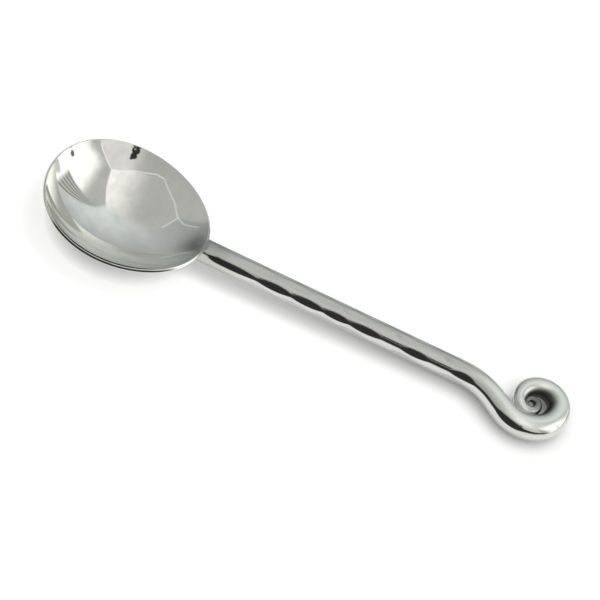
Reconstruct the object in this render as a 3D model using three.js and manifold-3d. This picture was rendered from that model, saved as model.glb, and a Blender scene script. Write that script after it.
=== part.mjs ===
// A forged soup spoon: an egg-oval dish of steel sheet, a round bar handle with a hammered stem and
// a scrolled end, and the weld that joins them under the rim. Millimetres, +Z up.
// The pieces are drawn with the rim level at z = 0 and the dish's widest place at x = 0, and are
// then laid down together until the dish and the scroll rest on the table at z = 0.
import * as THREE from "three";
import { mergeVertices } from "three/addons/utils/BufferGeometryUtils.js";
import Module from "manifold-3d";

// Dish: sizes of the hollow at the rim's inner edge, seen from above, and its depth below the rim.
const BOWL_HALF_WIDTH = 23.8;
const BOWL_TIP_LENGTH = 24.7;
const BOWL_NECK_LENGTH = 29.05;
const BOWL_DEPTH = 11.5;
const SHEET_THICKNESS = 1.05;
const RIM_ROUNDING = 0.2;
// The wall is an arc of an ellipse that has turned this far, in degrees, when it reaches the rim.
const WALL_SWEEP = 52;
// How far the ground end of the sheet leans from square to the wall, towards upright.
const RIM_LEAN = 18;

// Bar: a straight stem, a bend to the near side and a scroll back the other way.
const STEM_DIAMETER = 7.8;
const STEM_ABOVE_RIM = -0.5;
const STEM_LENGTH = 91.8;
const BEND_RADIUS = 20.5;
const BEND_ANGLE = 36;
const LINK_LENGTH = 5.2;
const SCROLL_FOOT_RADIUS = 11.4;
const SCROLL_END_RADIUS = 6.1;
const SCROLL_BACK_RADIUS = 7.9;
const SCROLL_HEART_RADIUS = 2.9;
const SCROLL_EYE_RADIUS = 1.4;
const SCROLL_TURNS = [
  { radius: SCROLL_FOOT_RADIUS, angle: 126 },
  { radius: SCROLL_END_RADIUS, angle: 90 },
  { radius: SCROLL_BACK_RADIUS, angle: 90 },
  { radius: SCROLL_HEART_RADIUS, angle: 180 },
  { radius: SCROLL_EYE_RADIUS, angle: 110 },
];
const SWELL_DIAMETER = 8.8;
const SWELL_ANGLE = 60;
const TIP_DIAMETER = 1.5;
const TAPER_SWEEP = 1.6;

// Hammer marks: rows of long shallow flats round the stem, neighbours half a mark apart.
const HAMMER_PITCH = 11.2;
const HAMMER_DEPTH = 0.22;
const HAMMER_ROWS = 8;
const HAMMER_ROW_ANGLE = 35;
const HAMMER_MARGIN = 8.5;

// Weld: the bead's leg on both pieces, its top below the rim, and the gap kept at each seam.
const WELD_LEG = 2;
const WELD_BELOW_RIM = 2.6;
const SEAM_GAP = 0.3;

// Worn flats under the dish and the scroll.
const REST_FLAT_DEPTH = 0.2;

// Fineness of the facets.
const BOWL_SEGMENTS = 48;
const WALL_STEPS = 11;
const BAR_SIDES = 40;
const STEM_STEP = 2.24;
const ARC_STEP = 12;
const MERGE_DISTANCE = 1e-4;

// Side of the blocks that cut pieces off at a level: past the whole spoon on every side.
const CUTTER_SIZE = 400;

const eggReach = (BOWL_NECK_LENGTH + BOWL_TIP_LENGTH) / 2;
const eggLean = (BOWL_NECK_LENGTH - BOWL_TIP_LENGTH) / 2;
const rimAngle = THREE.MathUtils.degToRad(WALL_SWEEP);
const wallHeight = BOWL_DEPTH / (1 - Math.cos(rimAngle));
const wallReach = BOWL_HALF_WIDTH / Math.sin(rimAngle);
const rimSlope = wallSlope(rimAngle);
const outerDepth = BOWL_DEPTH + SHEET_THICKNESS;
const stemRadius = STEM_DIAMETER / 2;
const axisDrop = stemRadius - STEM_ABOVE_RIM;
const stemEnd = BOWL_NECK_LENGTH + STEM_LENGTH;

const wasm = await Module();
wasm.setup();

function toSolid(geometry) {
  const bare = geometry.clone();
  bare.deleteAttribute("normal");
  bare.deleteAttribute("uv");
  const merged = mergeVertices(bare, MERGE_DISTANCE);
  const vertProperties = merged.attributes.position.array;
  const triVerts = new Uint32Array(merged.index.array);
  return new wasm.Manifold(new wasm.Mesh({ numProp: 3, vertProperties, triVerts }));
}

function toGeometry(solid) {
  const mesh = solid.getMesh();
  const geometry = new THREE.BufferGeometry();
  geometry.setAttribute("position", new THREE.BufferAttribute(mesh.vertProperties, 3));
  geometry.setIndex(new THREE.BufferAttribute(mesh.triVerts, 1));
  geometry.computeVertexNormals();
  return geometry;
}

// A wide block round a level: it only cuts pieces off there.
function blockGeometry(height, middle) {
  return new THREE.BoxGeometry(CUTTER_SIZE, CUTTER_SIZE, height).translate(0, 0, middle);
}

// How steeply the dish's wall rises where its arc has turned by an angle.
function wallSlope(angle) {
  return Math.atan2(wallHeight * Math.sin(angle), wallReach * Math.cos(angle));
}

// A point of the wall where its arc has turned by an angle. out is the distance from the hollow's
// skin, square to the wall.
function wallPoint(angle, out) {
  const slope = wallSlope(angle);
  const reach = wallReach * Math.sin(angle) + out * Math.sin(slope);
  const height = wallHeight * (Math.cos(rimAngle) - Math.cos(angle)) - out * Math.cos(slope);
  return { reach, height };
}

// The wall from the bottom up to the last step before the rim.
function wallCurve(out) {
  const points = [];
  for (let i = 0; i < WALL_STEPS; i++) {
    points.push(wallPoint((rimAngle * i) / WALL_STEPS, out));
  }
  return points;
}

// A point at the rim: past is the distance beyond the sheet's end, in line with the wall.
function rimPoint(out, past) {
  const point = wallPoint(rimAngle, out);
  point.reach += past * Math.cos(rimSlope);
  point.height += past * Math.sin(rimSlope);
  return point;
}

// Turns a closed profile about Z, then stretches the round into an egg with its tip towards -X.
function eggGeometry(profile) {
  const lathe = new THREE.LatheGeometry(
    profile.map((p) => new THREE.Vector2(p.reach, p.height)),
    BOWL_SEGMENTS,
  );
  lathe.rotateX(Math.PI / 2);
  const position = lathe.attributes.position;
  for (let i = 0; i < position.count; i++) {
    const reach = Math.hypot(position.getX(i), position.getY(i));
    const ahead = reach > 0 ? position.getX(i) / reach : 0;
    const length = eggReach * ahead + eggLean * ahead ** 2;
    position.setX(i, (length * reach) / BOWL_HALF_WIDTH);
  }
  return lathe;
}

// The sheet's end is ground at a lean, with both edges rounded.
function bowlSolid() {
  const lean = SHEET_THICKNESS * Math.tan(THREE.MathUtils.degToRad(RIM_LEAN));
  const shift = RIM_ROUNDING * (1 - Math.SQRT1_2);
  const outside = wallCurve(SHEET_THICKNESS).slice(0, -1);
  const lip = [
    rimPoint(SHEET_THICKNESS, -lean - RIM_ROUNDING),
    rimPoint(SHEET_THICKNESS - shift, -lean - shift),
    rimPoint(SHEET_THICKNESS - RIM_ROUNDING, -lean),
    rimPoint(RIM_ROUNDING, 0),
    rimPoint(shift, -shift),
    rimPoint(0, -RIM_ROUNDING),
  ];
  return toSolid(eggGeometry([...outside, ...lip, ...wallCurve(0).reverse()]));
}

// The dish filled up and past the rim: what the bar and the weld have to stay out of.
function bowlBlank(grow) {
  const out = SHEET_THICKNESS + grow;
  const edge = rimPoint(0, grow);
  const top = { ...edge, height: STEM_DIAMETER };
  const profile = [...wallCurve(out), rimPoint(out, grow), edge, top, { ...top, reach: 0 }];
  return toSolid(eggGeometry(profile));
}

// The bar's course in plan, as straight and round stretches that meet in line. A positive angle
// turns towards +Y.
const bend = arcStretch(BEND_RADIUS, -BEND_ANGLE);
const stretches = [
  { length: stemEnd, angle: 0, rings: Math.ceil(stemEnd / STEM_STEP) },
  bend,
  { length: LINK_LENGTH, angle: 0, rings: 1 },
  ...SCROLL_TURNS.map((turn) => arcStretch(turn.radius, turn.angle)),
];

function arcStretch(radius, degrees) {
  const angle = THREE.MathUtils.degToRad(degrees);
  return { length: Math.abs(radius * angle), angle, rings: Math.ceil(Math.abs(degrees) / ARC_STEP) };
}

function alongStretch(start, stretch, share) {
  const turned = stretch.angle * share;
  const run = stretch.length * share;
  const chord = turned === 0 ? run : (2 * stretch.length * Math.sin(turned / 2)) / stretch.angle;
  const heading = start.heading + turned / 2;
  return {
    x: start.x + chord * Math.cos(heading),
    y: start.y + chord * Math.sin(heading),
    heading: start.heading + turned,
    run: start.run + run,
  };
}

function barStations() {
  let start = { x: 0, y: 0, heading: 0, run: 0 };
  const stations = [start];
  for (const stretch of stretches) {
    for (let i = 1; i <= stretch.rings; i++) {
      stations.push(alongStretch(start, stretch, i / stretch.rings));
    }
    start = alongStretch(start, stretch, 1);
  }
  return stations;
}

const stations = barStations();
const barLength = stations.at(-1).run;
const swellRun =
  stemEnd +
  bend.length +
  LINK_LENGTH +
  SCROLL_FOOT_RADIUS * THREE.MathUtils.degToRad(SWELL_ANGLE);

// The plain bar's radius: even along the stem, swelling into the scroll, then drawn out to the tip.
function barRadius(run) {
  if (run <= swellRun) {
    const ease = THREE.MathUtils.smoothstep(run, stemEnd, swellRun);
    return THREE.MathUtils.lerp(stemRadius, SWELL_DIAMETER / 2, ease);
  }
  const drawn = ((run - swellRun) / (barLength - swellRun)) ** TAPER_SWEEP;
  return THREE.MathUtils.lerp(SWELL_DIAMETER / 2, TIP_DIAMETER / 2, drawn);
}

// The radius with the hammer's flats taken off, at an angle round the bar.
function hammeredRadius(run, angle) {
  const plain = barRadius(run);
  const first = BOWL_NECK_LENGTH + HAMMER_MARGIN;
  const firstRow = THREE.MathUtils.degToRad(HAMMER_ROW_ANGLE);
  let radius = plain;
  for (let row = 0; row < HAMMER_ROWS; row++) {
    const away = Math.cos(angle - firstRow - (2 * Math.PI * row) / HAMMER_ROWS);
    const start = first + ((row % 2) * HAMMER_PITCH) / 2;
    const mark = Math.floor((run - start) / HAMMER_PITCH);
    const markStart = start + mark * HAMMER_PITCH;
    if (away <= 0 || mark < 0 || markStart + HAMMER_PITCH > stemEnd) continue;
    const offCentre = (2 * (run - markStart)) / HAMMER_PITCH - 1;
    const flat = plain - HAMMER_DEPTH * (1 - offCentre ** 2);
    radius = Math.min(radius, flat / away);
  }
  return radius;
}

// A cylinder's rings are moved to the stations and given the bar's own section there. spread is 1 on
// the skin and 0 in the middle of the end caps.
function barGeometry() {
  const bar = new THREE.CylinderGeometry(1, 1, 1, BAR_SIDES, stations.length - 1);
  const position = bar.attributes.position;
  for (let i = 0; i < position.count; i++) {
    const ring = Math.round((position.getY(i) + 0.5) * (stations.length - 1));
    const station = stations[ring];
    const angle = Math.atan2(position.getZ(i), position.getX(i));
    const spread = Math.hypot(position.getX(i), position.getZ(i));
    const radius = spread * hammeredRadius(station.run, angle);
    const side = radius * Math.cos(angle);
    const x = station.x + side * Math.sin(station.heading);
    const y = station.y - side * Math.cos(station.heading);
    position.setXYZ(i, x, y, -axisDrop + radius * Math.sin(angle));
  }
  return bar;
}

function straightBar(grow) {
  const bar = new THREE.CylinderGeometry(stemRadius + grow, stemRadius + grow, stemEnd, BAR_SIDES);
  bar.rotateZ(-Math.PI / 2);
  bar.translate(stemEnd / 2, 0, -axisDrop);
  return toSolid(bar);
}

// The spoon lies on the bottom of the dish and the underside of the scroll.
const scrollRest = stations.find((station) => station.run >= swellRun);
const restTilt = Math.atan2(outerDepth - axisDrop - SWELL_DIAMETER / 2, scrollRest.x);

const restDrop = outerDepth - REST_FLAT_DEPTH;

function tableSolid() {
  const table = blockGeometry(outerDepth, -outerDepth / 2);
  table.rotateY(-restTilt);
  return toSolid(table.translate(0, 0, -restDrop));
}

function handleSolid() {
  return toSolid(barGeometry()).subtract(bowlBlank(SEAM_GAP)).subtract(tableSolid());
}

function weldSolid() {
  const above = toSolid(blockGeometry(outerDepth, outerDepth / 2 - WELD_BELOW_RIM));
  return straightBar(WELD_LEG)
    .intersect(bowlBlank(WELD_LEG))
    .subtract(straightBar(SEAM_GAP))
    .subtract(bowlBlank(SEAM_GAP))
    .subtract(above);
}

function piece(name, solid, colour, roughness) {
  const material = new THREE.MeshStandardMaterial({ color: colour, roughness, metalness: 1 });
  const mesh = new THREE.Mesh(toGeometry(solid), material);
  mesh.name = name;
  return mesh;
}

const spoon = new THREE.Group();
spoon.add(piece("bowl", bowlSolid().subtract(tableSolid()), 0xc9cacb, 0.12));
spoon.add(piece("handle", handleSolid(), 0xc4c5c6, 0.14));
spoon.add(piece("neck_weld", weldSolid(), 0xb9bab8, 0.25));

spoon.rotation.y = restTilt;
const middle = new THREE.Box3().setFromObject(spoon, true).getCenter(new THREE.Vector3());
spoon.position.set(-middle.x, -middle.y, restDrop * Math.cos(restTilt));

const root = new THREE.Group();
root.add(spoon);
export default root;
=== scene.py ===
# %% [markdown]
# # A forged soup spoon
# The spoon is three pieces of stainless steel: a dish pressed from sheet, a round bar that was hammered
# and rolled up at its end, and the weld that joins the two under the rim. The imported solids come first and
# stay where they are. They are the measure for everything that follows.

import math

import bmesh
import bpy
from mathutils import Matrix, Vector


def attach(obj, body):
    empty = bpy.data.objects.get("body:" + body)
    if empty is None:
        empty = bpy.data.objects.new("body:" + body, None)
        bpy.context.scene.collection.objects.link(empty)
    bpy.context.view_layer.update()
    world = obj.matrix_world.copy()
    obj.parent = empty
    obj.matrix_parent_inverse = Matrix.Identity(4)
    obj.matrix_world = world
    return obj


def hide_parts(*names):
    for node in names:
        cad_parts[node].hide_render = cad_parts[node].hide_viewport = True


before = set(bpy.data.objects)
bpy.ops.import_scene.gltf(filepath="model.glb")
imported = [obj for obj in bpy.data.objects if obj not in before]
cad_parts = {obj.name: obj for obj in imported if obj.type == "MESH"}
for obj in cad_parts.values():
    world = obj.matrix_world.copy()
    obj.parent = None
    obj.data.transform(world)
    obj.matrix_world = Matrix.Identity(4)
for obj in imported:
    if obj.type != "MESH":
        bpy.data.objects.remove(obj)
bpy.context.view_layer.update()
print("packed nodes:", sorted(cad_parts))

# %% [markdown]
# ## How the spoon lies
# Sizes are written in millimetres and turned into metres once, so that the numbers stay readable. They
# follow the solids, apart from a few: the sheet and the swell of the scroll are about 0.1 mm slimmer, so
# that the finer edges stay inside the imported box, and the coil in the middle of the scroll is fuller. Every
# piece is drawn with the rim level at height 0 and the dish's widest place at x = 0. One matrix then lays
# it down as the real spoon lies: on the bottom of the dish and the underside of the scroll.

# %% From the drawing to the table
MM = 0.001
REST_PLACE = (-66.8527 * MM, 0, 12.3461 * MM)
REST_TILT = 0.025

laid_down = Matrix.Translation(REST_PLACE) @ Matrix.Rotation(REST_TILT, 4, "Y")
print("the spoon is tipped by", round(math.degrees(REST_TILT), 1), "degrees")

# %% [markdown]
# ## Finishing a mesh
# Each piece is modelled in a bmesh, Blender's mesh for scripts. When its shape is done it is laid down,
# worn flat where it would reach into the table, and given to an object that sits at the origin. The flat
# comes from one cut with a plane, and its edge is marked sharp, so the curved skin keeps its own shading.

# %% From bmesh to object
TABLE_TOUCH = 1e-8


def wear_flat(bm):
    everything = bm.verts[:] + bm.edges[:] + bm.faces[:]
    cut = bmesh.ops.bisect_plane(
        bm, geom=everything, dist=TABLE_TOUCH,
        plane_co=(0, 0, 0), plane_no=(0, 0, 1), clear_inner=True,
    )
    border = [g for g in cut["geom_cut"] if isinstance(g, bmesh.types.BMEdge)]
    if border:
        bmesh.ops.contextual_create(bm, geom=border)
    for edge in border:
        edge.smooth = False
    return len(border)


def add_object(name, data):
    made = bpy.data.objects.new(name, data)
    bpy.context.scene.collection.objects.link(made)
    return made


def settle(bm, name, node):
    bmesh.ops.transform(bm, matrix=laid_down, verts=bm.verts)
    worn = wear_flat(bm)
    for face in bm.faces:
        face.smooth = True
    mesh = bpy.data.meshes.new(name)
    bm.to_mesh(mesh)
    bm.free()
    piece = add_object(name, mesh)
    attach(piece, "root")
    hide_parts(node)
    print(name, "has", len(mesh.polygons), "faces and a worn border of", worn, "edges")
    return piece

# %% [markdown]
# ## The dish
# The dish was pressed from one round blank between two dies. A pressed wall is easiest as a lathe shape:
# one curve from the bottom to the rim is spun round the upright axis. The curve is an arc of an ellipse,
# and the outside lies one sheet thickness away from it, measured square to the wall. The outside ends a
# little lower, because the end of the sheet was ground at a lean.

# %% The curve of the wall
BOWL_HALF_WIDTH = 23.8 * MM
BOWL_DEPTH = 11.5 * MM
SHEET_THICKNESS = 0.98 * MM
WALL_SWEEP = math.radians(52)
RIM_LEAN = math.radians(18)

wall_height = BOWL_DEPTH / (1 - math.cos(WALL_SWEEP))
wall_reach = BOWL_HALF_WIDTH / math.sin(WALL_SWEEP)


def wall_slope(turn):
    return math.atan2(wall_height * math.sin(turn), wall_reach * math.cos(turn))


def wall_point(turn, out):
    slope = wall_slope(turn)
    reach = wall_reach * math.sin(turn) + out * math.sin(slope)
    height = wall_height * (math.cos(WALL_SWEEP) - math.cos(turn)) - out * math.cos(slope)
    return Vector((reach, 0, height))


rim_slope = wall_slope(WALL_SWEEP)
lean = SHEET_THICKNESS * math.tan(RIM_LEAN)
rim_outside = wall_point(WALL_SWEEP, SHEET_THICKNESS)
rim_outside -= lean * Vector((math.cos(rim_slope), 0, math.sin(rim_slope)))
print("the wall meets the rim at", round(math.degrees(rim_slope), 1), "degrees")

# %% [markdown]
# A Solidify modifier could give one skin its thickness. Here the outside and the inside are spun apart, so
# that the sheet keeps its thickness all round and its end can lean.

# %% Spin the two skins of the dish
BOWL_SEGMENTS = 192
WALL_STEPS = 40
HAIR = 1e-6


def spin_skin(bm, points):
    curve = [bm.verts.new(point) for point in points]
    wire = [bm.edges.new(pair) for pair in zip(curve, curve[1:])]
    bmesh.ops.spin(
        bm, geom=curve + wire, cent=(0, 0, 0), axis=(0, 0, 1),
        angle=2 * math.pi, steps=BOWL_SEGMENTS, use_merge=True,
    )


def on_rim(edge):
    return min(v.co.z for v in edge.verts) > rim_outside.z - HAIR


turns = [WALL_SWEEP * step / WALL_STEPS for step in range(WALL_STEPS + 1)]
dish = bmesh.new()
spin_skin(dish, [wall_point(turn, SHEET_THICKNESS) for turn in turns[:-1]] + [rim_outside])
outer_rim = [e for e in dish.edges if e.is_boundary and on_rim(e)]
spin_skin(dish, [wall_point(turn, 0) for turn in turns])
print("two skins:", len(dish.faces), "faces, rim of", len(outer_rim), "edges")

# %% [markdown]
# The end of the sheet leans a little more upright than square to the wall. The top edge of the outside is
# extruded up and inwards until it meets the inside, which closes the sheet. Both edges were broken with a
# file before polishing, the inner one more, so they get narrow bevels with a round profile.

# %% Close and round the rim
RIM_ROUNDING = 0.12 * MM
RIM_INNER_ROUNDING = 0.26 * MM
RIM_SEGMENTS = 8
MERGE_WITHIN = 0.008 * MM
SHARP_ANGLE = math.radians(60)

cut = bmesh.ops.extrude_edge_only(dish, edges=outer_rim)["geom"]
cut_verts = [g for g in cut if isinstance(g, bmesh.types.BMVert)]
inwards = BOWL_HALF_WIDTH / rim_outside.x
bmesh.ops.scale(dish, vec=(inwards, inwards, 1), verts=cut_verts)
bmesh.ops.translate(dish, vec=(0, 0, -rim_outside.z), verts=cut_verts)
bmesh.ops.remove_doubles(dish, verts=dish.verts, dist=MERGE_WITHIN)
bmesh.ops.recalc_face_normals(dish, faces=dish.faces)
rim_edges = [e for e in dish.edges if on_rim(e) and e.calc_face_angle(0) > SHARP_ANGLE]
inner_edges = [e for e in rim_edges if e.verts[0].co.z > rim_outside.z / 2]
outer_edges = [e for e in rim_edges if e.verts[0].co.z <= rim_outside.z / 2]
for edges, rounding in ((inner_edges, RIM_INNER_ROUNDING), (outer_edges, RIM_ROUNDING)):
    bmesh.ops.bevel(
        dish, geom=edges, offset=rounding, offset_type="OFFSET", segments=RIM_SEGMENTS,
        profile=0.5, affect="EDGES", material=-1, clamp_overlap=True,
    )
bmesh.ops.recalc_face_normals(dish, faces=dish.faces)
print("rim rounded along", len(rim_edges), "edges")

# %% [markdown]
# Seen from above the dish is an egg, longer towards the neck than towards the tip. Each level of the round
# dish is stretched along the spoon by a length that depends on the direction from the middle: the mean
# reach along the spoon, plus a lean that pushes every side towards the neck.

# %% Stretch the round into an egg
BOWL_TIP_LENGTH = 24.7 * MM
BOWL_NECK_LENGTH = 29.05 * MM

egg_reach = (BOWL_NECK_LENGTH + BOWL_TIP_LENGTH) / 2
egg_lean = (BOWL_NECK_LENGTH - BOWL_TIP_LENGTH) / 2


def egg_length(reach, ahead):
    return (egg_reach * ahead + egg_lean * ahead**2) * reach / BOWL_HALF_WIDTH


for v in dish.verts:
    reach = math.hypot(v.co.x, v.co.y)
    if reach > 0:
        v.co.x = egg_length(reach, v.co.x / reach)
print("hollow in mm:", round(2 * egg_reach / MM, 2), "long,", round(2 * BOWL_HALF_WIDTH / MM, 2), "wide")

# %% [markdown]
# At the neck the rim was dressed away: the hollow runs over into the top of the handle in one soft roll. A
# soft minimum of two heights makes such a roll. Here the points of the rim are lowered to it, and further
# on the end of the bar is brought over them.

# %% Roll the rim over at the neck
THROAT_TOP = -0.08 * MM
THROAT_ROLL = 2.6 * MM
THROAT_HALF_WIDTH = 2.4 * MM
THROAT_FADE = 3.2 * MM
THROAT_DEPTH = 5 * MM


def smooth_step(share):
    share = min(max(share, 0), 1)
    return share * share * (3 - 2 * share)


def rolled(a, b):
    share = min(max(0.5 + (b - a) / (2 * THROAT_ROLL), 0), 1)
    return b + (a - b) * share - THROAT_ROLL * share * (1 - share)


lowered = 0
for v in dish.verts:
    within = 1 - smooth_step((abs(v.co.y) - THROAT_HALF_WIDTH) / THROAT_FADE)
    if v.co.x > 0 and v.co.z > -THROAT_DEPTH and within > 0:
        v.co.z += within * (rolled(v.co.z, THROAT_TOP) - v.co.z)
        lowered += 1
print("rim rolled over at the neck:", lowered, "points")
bowl = settle(dish, "dish", "bowl")

# %% [markdown]
# ## The course of the bar
# The handle is one bar. Its middle line is drawn as on a drawing board: straight pieces and arcs that meet
# in line. It leaves the dish straight, turns towards the near side, and rolls up the other way in arcs that
# close up towards the tip. A stretch is a length or a radius, a turn in degrees and a number of steps. A
# station is a place on the line with its heading and the run of bar up to it.

# %% Walk along straights and arcs
STEM_LENGTH = 91.8 * MM
stem_end = BOWL_NECK_LENGTH + STEM_LENGTH
STRETCHES = [
    (stem_end, 0, 190),
    (20.5 * MM, -36, 20),
    (5.2 * MM, 0, 6),
    (11.4 * MM, 126, 48),
    (6.1 * MM, 90, 30),
    (7.9 * MM, 90, 30),
    (3.4 * MM, 180, 40),
    (2.0 * MM, 200, 30),
]
SCROLL_FOOT = 3
SWELL_ANGLE = 60


def walk(start, size, degrees, share):
    x, y, heading, run = start
    turn = math.radians(degrees) * share
    length = size * share if degrees == 0 else size * abs(turn)
    chord = length if degrees == 0 else 2 * size * abs(math.sin(turn / 2))
    middle = heading + turn / 2
    return (x + chord * math.cos(middle), y + chord * math.sin(middle), heading + turn, run + length)


stations = []
starts = []
here = (0, 0, 0, 0)
for size, degrees, steps in STRETCHES:
    starts.append(here[3])
    stations += [walk(here, size, degrees, step / steps) for step in range(steps)]
    here = walk(here, size, degrees, 1)
stations.append(here)
bar_length = here[3]
swell_run = starts[SCROLL_FOOT] + STRETCHES[SCROLL_FOOT][0] * math.radians(SWELL_ANGLE)
print("bar of", round(bar_length / MM, 1), "mm with", len(stations), "stations")

# %% [markdown]
# ## Drawing the bar
# A ring of points is pushed along the course: each step extrudes the last ring and moves the new one to
# the next station. The bar is even along the stem, swells into the foot of the scroll, and was drawn out
# to a thin tip before it was rolled, so the ring grows and shrinks with the run. A curve with a round bevel
# would give a bar too, but rings can be hammered and coped point by point afterwards.

# %% A ring for each station
STEM_RADIUS = 3.9 * MM
STEM_ABOVE_RIM = -0.5 * MM
SWELL_RADIUS = 4.28 * MM
TIP_RADIUS = 0.75 * MM
TAPER_SWEEP = 1.6

axis_height = STEM_ABOVE_RIM - STEM_RADIUS


def bar_radius(run):
    if run <= swell_run:
        swell = smooth_step((run - stem_end) / (swell_run - stem_end))
        return STEM_RADIUS + (SWELL_RADIUS - STEM_RADIUS) * swell
    drawn = ((run - swell_run) / (bar_length - swell_run)) ** TAPER_SWEEP
    return SWELL_RADIUS + (TIP_RADIUS - SWELL_RADIUS) * min(drawn, 1)


def ring_matrix(station, radius):
    x, y, heading, _ = station
    side = Vector((-math.sin(heading), math.cos(heading), 0)) * radius
    rise = Vector((0, 0, radius))
    ahead = Vector((math.cos(heading), math.sin(heading), 0))
    turned = Matrix((side, rise, ahead)).transposed().to_4x4()
    return Matrix.Translation((x, y, axis_height)) @ turned


print("the bar's axis lies", round(-axis_height / MM, 2), "mm below the rim")

# %% [markdown]
# The bar starts well inside the dish, so that there is enough of it for the joint at the neck.

# %% Extrude the ring from station to station
BAR_SIDES = 128
COPE_START = 20 * MM


def ring_edges(ring):
    members = set(ring)
    return [e for v in ring for e in v.link_edges if e.verts[0] == v and e.other_vert(v) in members]


def grow_ring(bm, ring):
    grown = bmesh.ops.extrude_edge_only(bm, edges=ring_edges(ring))["geom"]
    return [g for g in grown if isinstance(g, bmesh.types.BMVert)]


bar = bmesh.new()
straight = bar.verts.layers.float_vector.new("straight_bar")
ring = bmesh.ops.create_circle(bar, segments=BAR_SIDES, radius=1)["verts"]
placed = Matrix.Identity(4)
rings = []
for station in (s for s in stations if s[3] >= COPE_START):
    if rings:
        ring = grow_ring(bar, ring)
    matrix = ring_matrix(station, bar_radius(station[3]))
    bmesh.ops.transform(bar, matrix=matrix @ placed.inverted(), verts=ring)
    placed = matrix
    rings.append((ring, station, matrix))
print("bar drawn with", len(rings), "rings")

# %% [markdown]
# ## The hammer marks
# The stem was hammered all round before it was polished. Each blow left a long shallow flat, and the next
# row of blows fell between the last, so flats and ridges change places along the bar. A flat at a depth is
# a straight cut across the round section. It is deepest in the middle of the blow and runs out at both
# ends, which gives the marks their lens shape. Polishing softened the ridges, so the cuts are joined with a
# soft minimum. Hand blows are not even: their ends along the near side, in millimetres of run, and their
# shares of the full depth are written out. The first one grows slowly from the dish, and the last one lies
# on the foot of the scroll.

# %% How deep the blows went
MARK_ENDS = [21, 48.5, 60.4, 71.6, 80.9, 92.1, 98.9, 109.2, 116.5, 126.5, 138, 147]
MARK_SHARES = [1, 1, 1, 0.9, 1, 0.1, 1, 0.1, 1, 0, 0.8]
MARK_DEPTH = 0.2 * MM
MARK_ROWS = 8
MARK_ROW_ANGLE = math.radians(145)
MARK_WIDTH = 0.7
RIDGE_SOFTNESS = 0.012 * MM
STEM_BLOWS = 9
ROW_SHIFT = 0.5
ROW_WANDER = 0.12
COPE_END = 34 * MM
NEAR_ROW_FADE = (20 * MM, 22 * MM)
OTHER_ROW_FADE = (COPE_END, 12 * MM)


def mark_number(run):
    for index, (a, b) in enumerate(zip(MARK_ENDS, MARK_ENDS[1:])):
        if run < b * MM:
            return index + (run / MM - a) / (b - a)
    return len(MARK_SHARES)


def pressed_radius(run, angle):
    plain = bar_radius(run)
    cuts = 1.0
    for row in range(MARK_ROWS):
        away = math.cos(angle - MARK_ROW_ANGLE - 2 * math.pi * row / MARK_ROWS)
        place = mark_number(run) + ROW_SHIFT * (row % 2) + ROW_WANDER * math.sin(5 * row)
        blow = math.floor(place)
        if away > MARK_WIDTH and 0 <= blow < (STEM_BLOWS if row else len(MARK_SHARES)):
            off_centre = 2 * (place - blow) - 1
            start, fade = OTHER_ROW_FADE if row else NEAR_ROW_FADE
            depth = MARK_DEPTH * MARK_SHARES[blow] * min(max((run - start) / fade, 0), 1)
            flat = plain - depth * (1 - off_centre**2)
            cuts += math.exp((plain - flat / away) / RIDGE_SOFTNESS)
    return plain - RIDGE_SOFTNESS * math.log(cuts)


print("near side:", len(MARK_SHARES), "blows, up to", round(MARK_DEPTH / MM, 2), "mm deep")

# %% [markdown]
# Next to the dish the bar was forged into a tongue. Its near side stands more upright, its far side slopes
# more, and its top is raised almost to the rim. A superellipse gives such a section: a power of 2 is a
# circle, more is squarer and less is more pointed. Tongue and flats are pressed into the rings in one go.
# The same step writes where each point would lie on the straight bar, which the polish lines follow later.

# %% Forge the tongue and press the flats
TONGUE_START = 20 * MM
TONGUE_END = 37 * MM
TONGUE_NEAR_SIDE = 0.4
TONGUE_FAR_SIDE = -0.3
TONGUE_SHOULDER = 0.3
LIFT_SHOULDER = 0.6


def tongue_share(run):
    return smooth_step((TONGUE_END - run) / (TONGUE_END - TONGUE_START))


def squared(run, angle):
    to_far_side = smooth_step(0.5 + math.cos(angle))
    squareness = TONGUE_NEAR_SIDE + (TONGUE_FAR_SIDE - TONGUE_NEAR_SIDE) * to_far_side
    power = 2 + squareness * tongue_share(run) * smooth_step(math.sin(angle) / TONGUE_SHOULDER)
    return (abs(math.cos(angle)) ** power + abs(math.sin(angle)) ** power) ** (-1 / power)


tongue_lift = THROAT_TOP - STEM_ABOVE_RIM
for ring, station, matrix in rings:
    run = station[3]
    radius = bar_radius(run)
    lift = tongue_share(run) * tongue_lift
    back = matrix.inverted()
    for v in ring:
        local = back @ v.co
        angle = math.atan2(local.y, local.x)
        v[straight] = (run, radius * local.x, radius * local.y)
        v.co = matrix @ (local * squared(run, angle) * (pressed_radius(run, angle) / radius))
        v.co.z += lift * smooth_step(local.y / LIFT_SHOULDER)
print("tongue raised by", round(tongue_lift / MM, 2), "mm")

# %% [markdown]
# ## Coping the end
# The end of the bar is coped: cut to the curve of the dish's outside, so that it closes against it. For
# that, the place of the dish's outside is needed at any height, and the height of the hollow at any place.
# The wall's curve gives them only the other way round, so they are found by halving a range again and
# again, on the side where the answer lies.

# %% Find the skins of the dish
HALVINGS = 40


def halved(low, high, falls_short):
    for _ in range(HALVINGS):
        middle = (low + high) / 2
        low, high = (middle, high) if falls_short(middle) else (low, middle)
    return low


def egg_place(reach, y):
    return egg_length(reach, math.sqrt(max(1 - (y / reach) ** 2, 0)))


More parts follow.
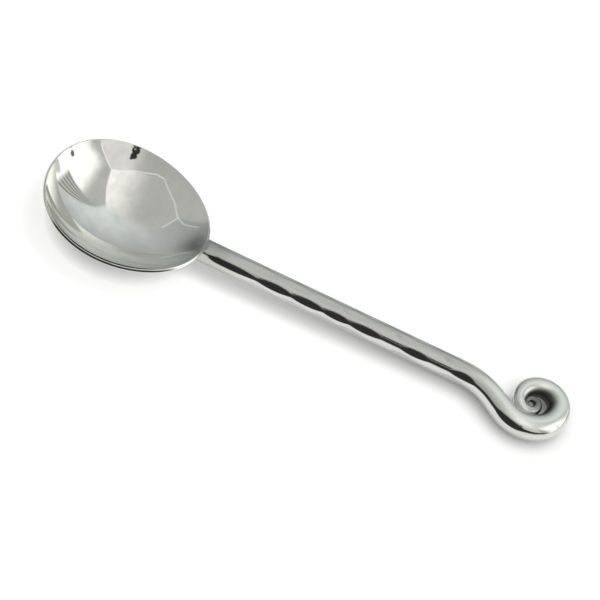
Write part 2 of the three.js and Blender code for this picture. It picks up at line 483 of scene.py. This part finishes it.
def outside_reach(z):
    if z > rim_outside.z:
        share = min((z - rim_outside.z) / -rim_outside.z, 1)
        return rim_outside.x + (BOWL_HALF_WIDTH - rim_outside.x) * share
    turn = halved(0.0, WALL_SWEEP, lambda turn: wall_point(turn, SHEET_THICKNESS).z < z)
    return wall_point(turn, SHEET_THICKNESS).x


def dish_outside(y, z):
    return egg_place(outside_reach(z), y)


def hollow_height(x, y):
    reach = halved(abs(y), 2 * BOWL_HALF_WIDTH, lambda reach: egg_place(reach, y) < x)
    turn = math.asin(min(reach / wall_reach, 1))
    return wall_height * (math.cos(WALL_SWEEP) - math.cos(turn))


print("the axis meets the dish at x =", round(dish_outside(0, axis_height) / MM, 2), "mm")

# %% [markdown]
# Each point near the end slides along the bar until the last ring lies just inside the sheet. The raised
# top of the tongue reaches further, over the lowered rim, and follows the roll down into the hollow.

# %% Slide the end against the dish
COPE_SEAT = 0.4 * MM
LEAST_SEAT = 0.1
TOP_STARTS = -1.7 * MM
THROAT_REACH = 2.9 * MM
THROAT_SKIN = 0.012 * MM

first_ring, first_station, _ = rings[0]
first_run = first_station[3]
for ring, station, _ in rings:
    run = station[3]
    if run < COPE_END:
        share = (run - first_run) / (COPE_END - first_run)
        for v in ring:
            on_top = smooth_step((v.co.z - TOP_STARTS) / MM)
            sunk = COPE_SEAT * min(max(-v.co.z / MM, LEAST_SEAT), 1) + on_top * THROAT_REACH
            seat = dish_outside(v.co.y, min(v.co.z, 0)) - sunk
            v.co.x = seat + (COPE_END - seat) * share
            v[straight].x = v.co.x
            over_hollow = rolled(hollow_height(v.co.x, v.co.y), v.co.z) + THROAT_SKIN
            v.co.z += on_top * (over_hollow - v.co.z)
print("coped end reaches to x =", round(min(v.co.x for v in first_ring) / MM, 2), "mm")

# %% [markdown]
# The thin tip at the other end is rounded with a few more rings, which shrink as the rings of a half ball
# do. Then the first ring and the last are each merged into one point, which closes the bar.

# %% Close both ends of the bar
TIP_STEPS = 6
TIP_LAST_STEP = 0.98

last_ring, _, last_matrix = rings[-1]
for step in range(1, TIP_STEPS + 1):
    last_ring = grow_ring(bar, last_ring)
    bow = math.radians(90 * min(step / TIP_STEPS, TIP_LAST_STEP))
    ahead = Matrix.Translation((0, 0, TIP_RADIUS * math.sin(bow)))
    cap = last_matrix @ ahead @ Matrix.Diagonal((math.cos(bow), math.cos(bow), 1, 1))
    bmesh.ops.transform(bar, matrix=cap @ placed.inverted(), verts=last_ring)
    placed = cap
end_middle = Vector((dish_outside(0, axis_height) - COPE_SEAT, 0, axis_height))
tip_middle = sum((v.co for v in last_ring), Vector()) / len(last_ring)
bmesh.ops.pointmerge(bar, verts=first_ring, merge_co=end_middle)
bmesh.ops.pointmerge(bar, verts=last_ring, merge_co=tip_middle)
bmesh.ops.recalc_face_normals(bar, faces=bar.faces)
handle = settle(bar, "bar_handle", "handle")

# %% [markdown]
# ## The weld
# The bar is welded to the dish from below, and the weld was dressed to a hollow fillet before polishing.
# The fillet is a narrow strip: at each place round the underside of the bar it runs from the bar's skin to
# the dish's skin in a curve that leaves both smoothly. It thins out towards the rim. A bevel along the joint
# could round it too, but the weld is a piece of its own, with its own tone: a dark one, which is painted
# shade.

# %% The section of the fillet
WELD_LEG = 2.2 * MM
LEAST_LEG = 0.15
WELD_SWEEP = 115
WELD_POINTS = 12
WELD_SEAT = 0.35 * MM
WELD_SINK = 0.2 * WELD_SEAT


def dish_normal(y, z):
    slope_y = (dish_outside(y + HAIR, z) - dish_outside(y - HAIR, z)) / (2 * HAIR)
    slope_z = (dish_outside(y, z + HAIR) - dish_outside(y, z - HAIR)) / (2 * HAIR)
    return Vector((1, -slope_y, -slope_z)).normalized()


def fillet_section(degrees):
    angle = math.radians(degrees)
    out = Vector((0, math.sin(angle), -math.cos(angle)))
    y, z = STEM_RADIUS * out.y, axis_height + STEM_RADIUS * out.z
    root = Vector((dish_outside(y, z), y, z))
    normal = dish_normal(y, z)
    along_dish = (out - out.dot(normal) * normal).normalized()
    fullness = math.cos(math.radians(90 * degrees / WELD_SWEEP)) ** 0.5
    leg = WELD_LEG * (LEAST_LEG + (1 - LEAST_LEG) * fullness)
    bar_end = root + Vector((leg, 0, 0)) - out * WELD_SINK
    dish_end = root + along_dish * leg
    dish_end.x = dish_outside(dish_end.y, dish_end.z)
    dish_end -= normal * WELD_SINK
    points = []
    for step in range(WELD_POINTS):
        share = step / (WELD_POINTS - 1)
        points.append(
            bar_end * (1 - share) ** 2 + root * (2 * share * (1 - share)) + dish_end * share**2
        )
    buried = root - out * WELD_SEAT - normal * WELD_SEAT
    return points + [dish_end - normal * WELD_SEAT, buried, bar_end - out * WELD_SEAT]


print("each section of the fillet has", len(fillet_section(0)), "points")

# %% [markdown]
# A ring with that section is extruded round the underside, as a welder goes round a joint in one pass.

# %% Sweep the fillet round the underside
WELD_STEPS = 40

weld_mesh = bmesh.new()
ring = bmesh.ops.create_circle(weld_mesh, segments=len(fillet_section(0)), radius=MM)["verts"]
ring = sorted(ring, key=lambda v: math.atan2(v.co.y, v.co.x))
for step in range(WELD_STEPS + 1):
    if step:
        grown = set(grow_ring(weld_mesh, ring))
        ring = [next(e.other_vert(v) for e in v.link_edges if e.other_vert(v) in grown) for v in ring]
    for v, point in zip(ring, fillet_section(-WELD_SWEEP + 2 * WELD_SWEEP * step / WELD_STEPS)):
        v.co = point
bmesh.ops.holes_fill(weld_mesh, edges=[e for e in weld_mesh.edges if e.is_boundary], sides=0)
bmesh.ops.recalc_face_normals(weld_mesh, faces=weld_mesh.faces)
weld = settle(weld_mesh, "weld_fillet", "neck_weld")

# %% [markdown]
# ## Writing shader maths as expressions
# Node trees read badly as long lists of links. A small class wraps one socket, so that an expression such
# as 1 - mask adds its own Math node, and every other node comes from one method that takes the node's
# type, its settings and its sockets.

# %% A socket that can be calculated with
class Tone:
    def __init__(self, tree, socket=None):
        self.tree = tree
        self.socket = socket

    def node(self, kind, settings=None, sockets=None, out=0):
        made = self.tree.nodes.new(kind)
        for name, value in (settings or {}).items():
            setattr(made, name, value)
        for key, value in (sockets or {}).items():
            if isinstance(value, Tone):
                self.tree.links.new(value.socket, made.inputs[key])
            else:
                made.inputs[key].default_value = value
        return Tone(self.tree, made.outputs[out] if len(made.outputs) else None)

    def math(self, operation, *others):
        return self.node("ShaderNodeMath", {"operation": operation}, dict(enumerate((self, *others))))

    def __add__(self, other):
        return self.math("ADD", other)

    def __sub__(self, other):
        return self.math("SUBTRACT", other)

    def __rsub__(self, other):
        return self.node("ShaderNodeMath", {"operation": "SUBTRACT"}, {0: other, 1: self})

    def __mul__(self, other):
        return self.math("MULTIPLY", other)

    def __truediv__(self, other):
        return self.math("DIVIDE", other)

    __radd__ = __add__
    __rmul__ = __mul__

    def ease(self, low, high):
        return self.node(
            "ShaderNodeMapRange", {"interpolation_type": "SMOOTHSTEP"},
            {"Value": self, "From Min": low, "From Max": high},
        )

    def blend(self, a, b):
        return self.node("ShaderNodeMix", {"data_type": "RGBA"}, {0: self, 6: a, 7: b}, out=2)


def fresh_tree(owner):
    owner.use_nodes = True
    owner.node_tree.nodes.clear()
    return Tone(owner.node_tree)

# %% [markdown]
# ## Polished steel
# All three pieces are stainless steel. A polished metal is mostly what it reflects, so the finish itself is
# subtle: a base colour that is a touch warm, faint cloudy changes of roughness where cloths have rubbed,
# and fine lines left by the polishing wheel. The lines run along the bar and across the dish, so each piece
# gets its own coordinates: the dish its place on the table, the bar its place on the straight bar. Each
# recipe gets a coat function that may lay further tones over the plain steel.

# %% One recipe for the three finishes
RUBBED = (0.42, 0.68)
LINED = (0.3, 0.7)
WORN_TONE = 0.85
RUB_TONE = 0.3
RUB_ROUGHNESS = 0.6
LINE_ROUGHNESS = 0.5


def object_place(tree):
    return tree.node("ShaderNodeTexCoord", out="Object")


def straight_bar_place(tree):
    return tree.node("ShaderNodeAttribute", {"attribute_name": "straight_bar"}, out="Vector")


def noise(tree, place, scale, detail, roughness):
    sockets = {"Vector": place, "Scale": scale, "Detail": detail, "Roughness": roughness}
    return tree.node("ShaderNodeTexNoise", None, sockets)


def polished_steel(name, steel, line_space, coat, line_scale, line_depth, streaks, cloud_scale, smooth):
    material = bpy.data.materials.new(name)
    tree = fresh_tree(material)
    stretched = tree.node("ShaderNodeMapping", None, {"Vector": line_space(tree), "Scale": line_scale})
    wheel = noise(tree, stretched, scale=1.0, detail=3.0, roughness=0.6)
    cloud = noise(tree, object_place(tree), scale=cloud_scale, detail=4.0, roughness=0.55)
    rub = cloud.ease(*RUBBED)
    worn = tuple(part * WORN_TONE for part in steel)
    colour = (rub * RUB_TONE + wheel.ease(*LINED) * streaks).blend((*steel, 1), (*worn, 1))
    roughness = smooth * (1 + rub * RUB_ROUGHNESS + wheel * LINE_ROUGHNESS)
    bump = tree.node("ShaderNodeBump", None, {"Strength": 1.0, "Distance": line_depth, "Height": wheel})
    colour, roughness = coat(tree, colour, roughness)
    metal = tree.node(
        "ShaderNodeBsdfPrincipled", None,
        {"Base Color": colour, "Metallic": 1.0, "Roughness": roughness, "Normal": bump},
    )
    tree.node("ShaderNodeOutputMaterial", None, {"Surface": metal})
    return material

# %% [markdown]
# The weld has one plain tone, a little warm and much darker than the dish, as painted shade for the shaded
# sheet that the steel mirrors under the neck. A dark patch on top of the neck is a painted dark reflection.
# It lies on the dish and on the bar alike, so it follows the distance from one point on the neck.

# %% Finish the weld and the dish
DISH_STEEL = (0.84, 0.835, 0.81)
# Painted shade: the weld and the flanks of the bar next to it get this dark tone for the shaded sheet they
# mirror under the neck.
FLARE_SHADE_TONE = (0.47, 0.455, 0.415)
# The dark patch round the top of the neck is a painted dark reflection.
NECK_REFLECTION_TINT = (0.2, 0.2, 0.195)
NECK_REFLECTION_SHARE = 0.65
NECK_REFLECTION_REACH = (1 * MM, 11 * MM)
NECK_TOP = laid_down @ Vector((BOWL_NECK_LENGTH, -1 * MM, 0))


def no_coat(tree, colour, roughness):
    return colour, roughness


def dish_coat(tree, colour, roughness):
    sockets = {0: object_place(tree), 1: NECK_TOP}
    away = tree.node("ShaderNodeVectorMath", {"operation": "DISTANCE"}, sockets, out="Value")
    # painted dark reflection, strongest at the top of the neck and fading away from it
    neck_reflection = 1 - away.ease(*NECK_REFLECTION_REACH)
    return (neck_reflection * NECK_REFLECTION_SHARE).blend(colour, (*NECK_REFLECTION_TINT, 1)), roughness


weld.data.materials.append(polished_steel(
    "weld_polish", FLARE_SHADE_TONE, object_place, no_coat,
    line_scale=(700, 700, 700), line_depth=0.012 * MM, streaks=0.3, cloud_scale=200, smooth=0.11,
))
bowl.data.materials.append(polished_steel(
    "dish_polish", DISH_STEEL, object_place, dish_coat,
    line_scale=(90, 900, 900), line_depth=0.001 * MM, streaks=0.1, cloud_scale=60, smooth=0.025,
))
print("finished:", weld.data.materials[0].name, "and", bowl.data.materials[0].name)

# %% [markdown]
# The bar is not the same all over. Its near side is a mirror, its top kept a soft satin shine from the last
# brushing, and the satin side of the scroll has a brighter tone. The top of the tongue has the dish's steel
# and the painted dark reflection of the neck, and below it, where the bar flares into the weld, the weld's
# dark tone runs out along the bar as painted shade. On the side of the scroll that faces the eye, and towards
# the eye itself, a nearly black tone is painted shade for the dark inside the scroll, and the steel there is
# rougher.

# %% Finish the bar
BAR_STEEL = (0.67, 0.675, 0.65)
BRUSHED_STEEL = (0.53, 0.53, 0.515)
SCROLL_STEEL = (0.9, 0.9, 0.87)
# Painted shade: a nearly black tone on the inner side of the scroll and round its eye, for the dark inside
# the scroll.
SCROLL_SHADE_TONE = (0.06, 0.06, 0.055)
TOP_SIDE = (0.4, 0.7)
SATIN_SIDE = (-0.72, -0.5)
SATIN_SHARE = 0.8
SATIN_ROUGHNESS = 0.2
BRIGHT_RUN = (stem_end, stem_end + 14 * MM)
TONGUE_TOP = (28 * MM, 35 * MM)
FLARE_SHADE_RUN = (30 * MM, 46 * MM)
FLARE_SHADE_SHARE = 0.7
SCROLL_SHADE_RUN = (swell_run - 4 * MM, swell_run + 8 * MM)
SCROLL_SHADE_SIDE = (0.3, 0.85)
SCROLL_SHADE_SHARE = 0.9
SCROLL_SHADE_ROUGHNESS = 0.2
EYE_SHADE_RUN = (bar_length - 16 * MM, bar_length - 5 * MM)
EYE_SHADE_SHARE = 0.85


def bar_coat(tree, colour, roughness):
    place = straight_bar_place(tree)
    run, side, rise = (tree.node("ShaderNodeSeparateXYZ", None, {0: place}, out=axis) for axis in range(3))
    round_bar = (side * side + rise * rise).math("SQRT")
    inward = side / round_bar
    on_top = (rise / round_bar).ease(*TOP_SIDE)
    satin = inward.ease(*SATIN_SIDE)
    colour = (satin * SATIN_SHARE).blend(colour, (*BRUSHED_STEEL, 1))
    colour = (run.ease(*BRIGHT_RUN) * satin).blend(colour, (*SCROLL_STEEL, 1))
    colour = (on_top * (1 - run.ease(*TONGUE_TOP))).blend(colour, (*DISH_STEEL, 1))
    # the painted dark reflection of the neck reaches onto the top of the tongue
    colour = on_top.blend(colour, dish_coat(tree, colour, roughness)[0])
    # painted shade on the sides and underside of the bar where it flares into the weld
    flare_shade = (1 - on_top) * (1 - run.ease(*FLARE_SHADE_RUN))
    colour = (flare_shade * FLARE_SHADE_SHARE).blend(colour, (*FLARE_SHADE_TONE, 1))
    # painted shade inside the scroll: towards the eye and on the side that faces it; the same mask also
    # raises the roughness
    eye_shade = run.ease(*EYE_SHADE_RUN) * EYE_SHADE_SHARE
    scroll_shade = (run.ease(*SCROLL_SHADE_RUN) * inward.ease(*SCROLL_SHADE_SIDE)).math("MAXIMUM", eye_shade)
    colour = (scroll_shade * SCROLL_SHADE_SHARE).blend(colour, (*SCROLL_SHADE_TONE, 1))
    return colour, roughness + satin * SATIN_ROUGHNESS + scroll_shade * SCROLL_SHADE_ROUGHNESS


handle.data.materials.append(polished_steel(
    "bar_polish", BAR_STEEL, straight_bar_place, bar_coat,
    line_scale=(60, 2600, 2600), line_depth=0.003 * MM, streaks=0.5, cloud_scale=90, smooth=0.05,
))
print("finished:", handle.data.materials[0].name)

# %% [markdown]
# ## The floor
# The spoon lies on a plain white sheet, which takes the shadow as any matt white surface does. More lamps
# would make it whiter, but the steel too. So a weak glow, which only the camera and mirrors see, lifts it to
# the white of the background. The steel mirrors the glow only close by and in front: further out the sheet
# lies in the tent's shade, so the bowl shows no bright horizon. The glow fades where the spoon covers the
# sheet, so that narrow places such as the inside of the scroll stay dark.

# %% A matt white sheet
FLOOR_SIZE = 8
FLOOR_COLOUR = (0.5, 0.5, 0.495, 1)
FLOOR_LIFT = 0.68
COVERED_WITHIN = 7 * MM
COVER_SAMPLES = 16
CLOSE_SHEET = (0.15, 0.4)
BACK_SHEET = (5 * MM, 45 * MM)

sheet_mesh = bmesh.new()
bmesh.ops.create_grid(sheet_mesh, x_segments=4, y_segments=4, size=FLOOR_SIZE)
floor_data = bpy.data.meshes.new("white_sheet")
sheet_mesh.to_mesh(floor_data)
sheet_mesh.free()
floor = add_object("white_sheet", floor_data)

paper = bpy.data.materials.new("matt_white")
tree = fresh_tree(paper)
seen, mirrored, through = (
    tree.node("ShaderNodeLightPath", out=f"Is {kind} Ray") for kind in ("Camera", "Glossy", "Transmission")
)
place = object_place(tree)
away = tree.node("ShaderNodeVectorMath", {"operation": "LENGTH"}, {0: place}, out="Value")
behind = tree.node("ShaderNodeSeparateXYZ", None, {0: place}, out=1)
close_by = (1 - away.ease(*CLOSE_SHEET)) * (1 - behind.ease(*BACK_SHEET))
in_sight = (seen + mirrored * close_by + through).math("MINIMUM", 1)
uncovered = tree.node(
    "ShaderNodeAmbientOcclusion", {"samples": COVER_SAMPLES}, {"Distance": COVERED_WITHIN}, out="AO"
)
glow = tree.node("ShaderNodeEmission", None, {"Color": FLOOR_LIFT * uncovered * in_sight, "Strength": 1.0})
matt = tree.node("ShaderNodeBsdfDiffuse", None, {"Color": FLOOR_COLOUR})
lifted = tree.node("ShaderNodeAddShader", None, {0: matt, 1: glow})
tree.node("ShaderNodeOutputMaterial", None, {"Surface": lifted})
floor.data.materials.append(paper)
print("sheet of", len(floor_data.polygons), "faces with", len(paper.node_tree.nodes), "nodes")

# %% [markdown]
# A wide soft lamp behind the spoon lights the sheet, so the shadow falls to the near side. The steel mirrors
# the tent and not the lamp, which stands outside the cloth, so the lamp is hidden from mirrored rays.

# %% The lamp behind the tent
LAMP_PLACE = Vector((0.08, 0.21, 0.69))
LAMP_WIDTH = 0.36
LAMP_POWER = 1.1

lamp_data = bpy.data.lights.new("back_lamp", "AREA")
lamp_data.shape = "DISK"
lamp_data.size = LAMP_WIDTH
lamp_data.energy = LAMP_POWER
lamp = add_object("back_lamp", lamp_data)
facing = LAMP_PLACE.to_track_quat("Z", "Y").to_matrix().to_4x4()
lamp.matrix_world = Matrix.Translation(LAMP_PLACE) @ facing
lamp.visible_glossy = False
lamp.visible_camera = False
print("lamp of", LAMP_POWER, "W,", round(LAMP_PLACE.length, 2), "m away")

# %% [markdown]
# ## The light tent
# Polished cutlery is photographed in a tent of white cloth: lamps outside make the cloth glow, and the
# steel mirrors its panels and seams. The tent is drawn in the world on a flat disc: the middle is straight
# up, and the distance from the middle is the angle from there in degrees. On that disc a panel is a few
# straight edges, a seam is a thin line, and a hole is a soft round spot. Panels of real mesh would do as
# well, but on the disc an edge is moved by changing a corner.

# %% Disc coordinates of the sky
SEAM_CORE = 0.4
SEAM_END = 1

world = bpy.data.worlds.new("light_tent")
bpy.context.scene.world = world
tree = fresh_tree(world)
ray = tree.node("ShaderNodeTexCoord", out="Generated")
ray_x, ray_y, ray_z = (tree.node("ShaderNodeSeparateXYZ", None, {0: ray}, out=axis) for axis in range(3))
from_zenith = ray_z.math("ARCCOSINE") * math.degrees(1)
level = (ray_x * ray_x + ray_y * ray_y).math("SQRT")
disc_u = from_zenith * ray_x / level
disc_v = from_zenith * ray_y / level


def direction(a, b):
    length = math.dist(a, b)
    return length, (b[0] - a[0]) / length, (b[1] - a[1]) / length


def left_of(a, b):
    _, du, dv = direction(a, b)
    return (disc_v - a[1]) * du - (disc_u - a[0]) * dv


def panel(corners, softness):
    edges = zip(corners, corners[1:] + corners[:1], softness)
    return math.prod(left_of(a, b).ease(-soft, soft) for a, b, soft in edges)


def seam(a, b, width):
    length, du, dv = direction(a, b)
    along = (disc_u - a[0]) * du + (disc_v - a[1]) * dv
    thin = 1 - left_of(a, b).math("ABSOLUTE").ease(width * SEAM_CORE, width)
    return thin * along.ease(-SEAM_END, SEAM_END) * (1 - along.ease(length - SEAM_END, length + SEAM_END))


def spot(middle, inner, outer):
    du, dv = disc_u - middle[0], disc_v - middle[1]
    return 1 - (du * du + dv * dv).math("SQRT").ease(inner, outer)


print("the disc takes", len(world.node_tree.nodes), "nodes")

# %% [markdown]
# Each panel of cloth has its own brightness. The roof is warm and brightest towards the right, where the
# lamp stands. The right wall glows from some way up, the back wall is cooler, and the front wall is split:
# its left half is in shade. A faint noise over all of them stands for creases in the cloth.

# %% Walls and roof
TENT_LEVEL = 0.89
WARM, PLAIN, COOL = (1.02, 1, 0.965), (0.975, 1, 0.945), (0.935, 1, 0.98)
CREASE_SHARE = 0.22


def lit(value, tint=PLAIN):
    return (*(TENT_LEVEL * value * part for part in tint), 1)


back_wall = disc_u.ease(-60, 22).blend(lit(0.46, COOL), lit(0.95, COOL))
back_wall = disc_v.ease(32, 88).blend(back_wall, lit(0.5, COOL))
lamp_glow = disc_u.ease(32, 54) * disc_v.ease(-30, -10)
right_wall = lamp_glow.blend(lit(0.62), lit(1.8))
roof = disc_u.ease(-18, 20).blend(lit(0.58), lit(1.3, WARM))
PANELS = [
    ([(-42, 5), (-130, 33), (-130, -130), (-60, -130), (-24, -39)], [2] * 5, lit(0.58)),
    ([(-24, -39), (-60, -130), (60, -130), (24, -22)], [2] * 4, lit(0.55)),
    ([(4, -34), (18, -130), (130, -130), (130, -72), (26, -21)], [12, 2, 2, 2, 2], lit(0.95, WARM)),
    ([(26, -21), (130, -72), (130, 99), (22, 31), (14, 20)], [2] * 5, right_wall),
    (
        [(26, -21), (22, 0), (15, 20), (-8, 27), (-30, 25), (-42, 5), (-37, -14), (-24, -38), (4, -34)],
        [1.2, 2, 8, 8, 1.2, 1.2, 1.2, 1.2, 1.2],
        roof,
    ),
]
cloth = back_wall
for corners, softness, colour in PANELS:
    cloth = panel(corners, softness).blend(cloth, colour)
cloth_place = tree.node("ShaderNodeCombineXYZ", None, {0: disc_u, 1: disc_v * 0.6})
creases = noise(tree, cloth_place, scale=0.09, detail=3.0, roughness=0.6).ease(0.35, 0.7)
cloth = (creases * CREASE_SHARE).blend(cloth, lit(0.4))
print("tent of", len(PANELS), "panels and a back wall")

# %% [markdown]
# The seams between the panels are doubled cloth with light behind it, so they show as thin bright lines.
# The right wall hangs in folds that fan out from the roof's corner.

# %% Seams and folds
SEAM_WIDTH = 1.2
SEAMS = [
    ([(-62, 20), (-48, 14), (-42, 5), (-37, -14), (-24, -38)], 0.35),
    ([(-42, 5), (-31, 22)], 0.35),
    ([(-24, -38), (-17, -40), (4, -34), (26, -21)], 0.5),
    ([(26, -21), (22, 0), (17, 12), (14, 20)], 0.6),
    ([(26, -21), (42, -29), (54, -35)], 0.8),
]
FOLD_CORNER = (22, 31)
FOLD_ANGLE = 7.5

for points, strength in SEAMS:
    for a, b in zip(points, points[1:]):
        cloth = (seam(a, b, SEAM_WIDTH) * strength).blend(cloth, lit(1.2))
fold_turn = (disc_v - FOLD_CORNER[1]).math("ARCTAN2", disc_u - FOLD_CORNER[0])
fold_wave = (fold_turn * (360 / FOLD_ANGLE)).math("SINE").ease(-0.7, 0.7)
folds = panel([FOLD_CORNER, (66, 26), (66, 60)], [2, 4, 2])
cloth = folds.blend(cloth, fold_wave.blend(lit(0.36), lit(0.66)))
print("seams:", len(SEAMS), "lines; one fold every", FOLD_ANGLE, "degrees")

# %% [markdown]
# Things that stand outside dim the cloth in a few soft places. Low in front the tent is open: a dark band,
# which gives the bar and the rim their black lines. Towards the right its upper edge slants down. A small
# dark hole above it is put together from a few round spots.

# %% Shades, hole and opening
SHADES = [
    ((76, 45), 5, 8, 0.7, lit(0.5)),
    ((75, 10), 2.5, 4.5, 1, lit(0.2, COOL)),
    ((-68, 60), 4, 36, 1, lit(0.2, COOL)),
]
HOLE = [
    ((12, -56), 4, 5.8, 1, lit(0.04)),
    ((11.5, -49), 3, 4.6, 1, lit(0.04)),
    ((13, -45), 0.8, 2.6, 1, lit(0.06)),
    ((13.5, -57), 0.5, 2, 1, lit(0.4)),
]
BACK_GAP = [(14, 86), (15, 77), (45, 75), (46, 86)]
OPENING_TOP, OPENING_FOOT = 64, (84, 88)
OPENING_LEFT, OPENING_RIGHT = (-75, -55), (66, 80)
SLANT_FROM, SLANT = 25, 0.4

cloth = panel(BACK_GAP, [2] * 4).blend(cloth, lit(0.28))
for middle, inner, outer, share, colour in SHADES + HOLE:
    cloth = (spot(middle, inner, outer) * share).blend(cloth, colour)
around = disc_u.math("ARCTAN2", 0 - disc_v) * math.degrees(1)
below_edge = from_zenith - OPENING_TOP - (around - SLANT_FROM).math("MAXIMUM", 0) * SLANT
opening = below_edge.ease(-1.5, 1.5) * (1 - from_zenith.ease(*OPENING_FOOT))
opening = opening * around.ease(*OPENING_LEFT) * (1 - around.ease(*OPENING_RIGHT))
cloth = opening.blend(cloth, lit(0.045))
print("shades:", len(SHADES), "and a hole of", len(HOLE), "spots")

# %% [markdown]
# The steel sees the tent. The camera sees plain white where it looks past the sheet.

# %% Hang the tent
tent = tree.node("ShaderNodeBackground", None, {"Color": cloth, "Strength": 1.0})
white = tree.node("ShaderNodeBackground", None, {"Color": (1, 1, 1, 1), "Strength": 1.0})
looked_at = tree.node("ShaderNodeLightPath", out="Is Camera Ray")
shown = tree.node("ShaderNodeMixShader", None, {0: looked_at, 1: tent, 2: white})
tree.node("ShaderNodeOutputWorld", None, {"Surface": shown})
print("the world has", len(world.node_tree.nodes), "nodes")

# %% [markdown]
# ## The camera
# The camera looks down at the spoon from the front, and is rolled so that the handle runs from the upper
# left to the lower right. Its place follows from a target between dish and scroll, two angles and a
# distance. A long lens from far away keeps the spoon's proportions.

# %% Place the camera
TARGET = Vector((-2.45, 3.55, 0)) * MM
ELEVATION = math.radians(51)
SWING = math.radians(-8.7)
ROLL = math.radians(31.14)
DISTANCE = 703.8 * MM
SENSOR_WIDTH = 36
FOCAL_LENGTH = 132

toward = Vector(
    (math.sin(SWING) * math.cos(ELEVATION), -math.cos(SWING) * math.cos(ELEVATION), math.sin(ELEVATION))
)
level_right = Vector((math.cos(SWING), math.sin(SWING), 0))
level_up = toward.cross(level_right)
right = level_right * math.cos(ROLL) + level_up * math.sin(ROLL)
up = level_up * math.cos(ROLL) - level_right * math.sin(ROLL)
lens = bpy.data.cameras.new("studio_camera")
lens.sensor_width = SENSOR_WIDTH
lens.lens = FOCAL_LENGTH
lens.clip_start = 10 * MM
camera = add_object("studio_camera", lens)
turned = Matrix((right, up, toward)).transposed().to_4x4()
camera.matrix_world = Matrix.Translation(TARGET + toward * DISTANCE) @ turned
bpy.context.scene.camera = camera
bpy.context.scene.view_settings.view_transform = "Standard"
print("camera at", [round(c / MM) for c in camera.location], "mm")
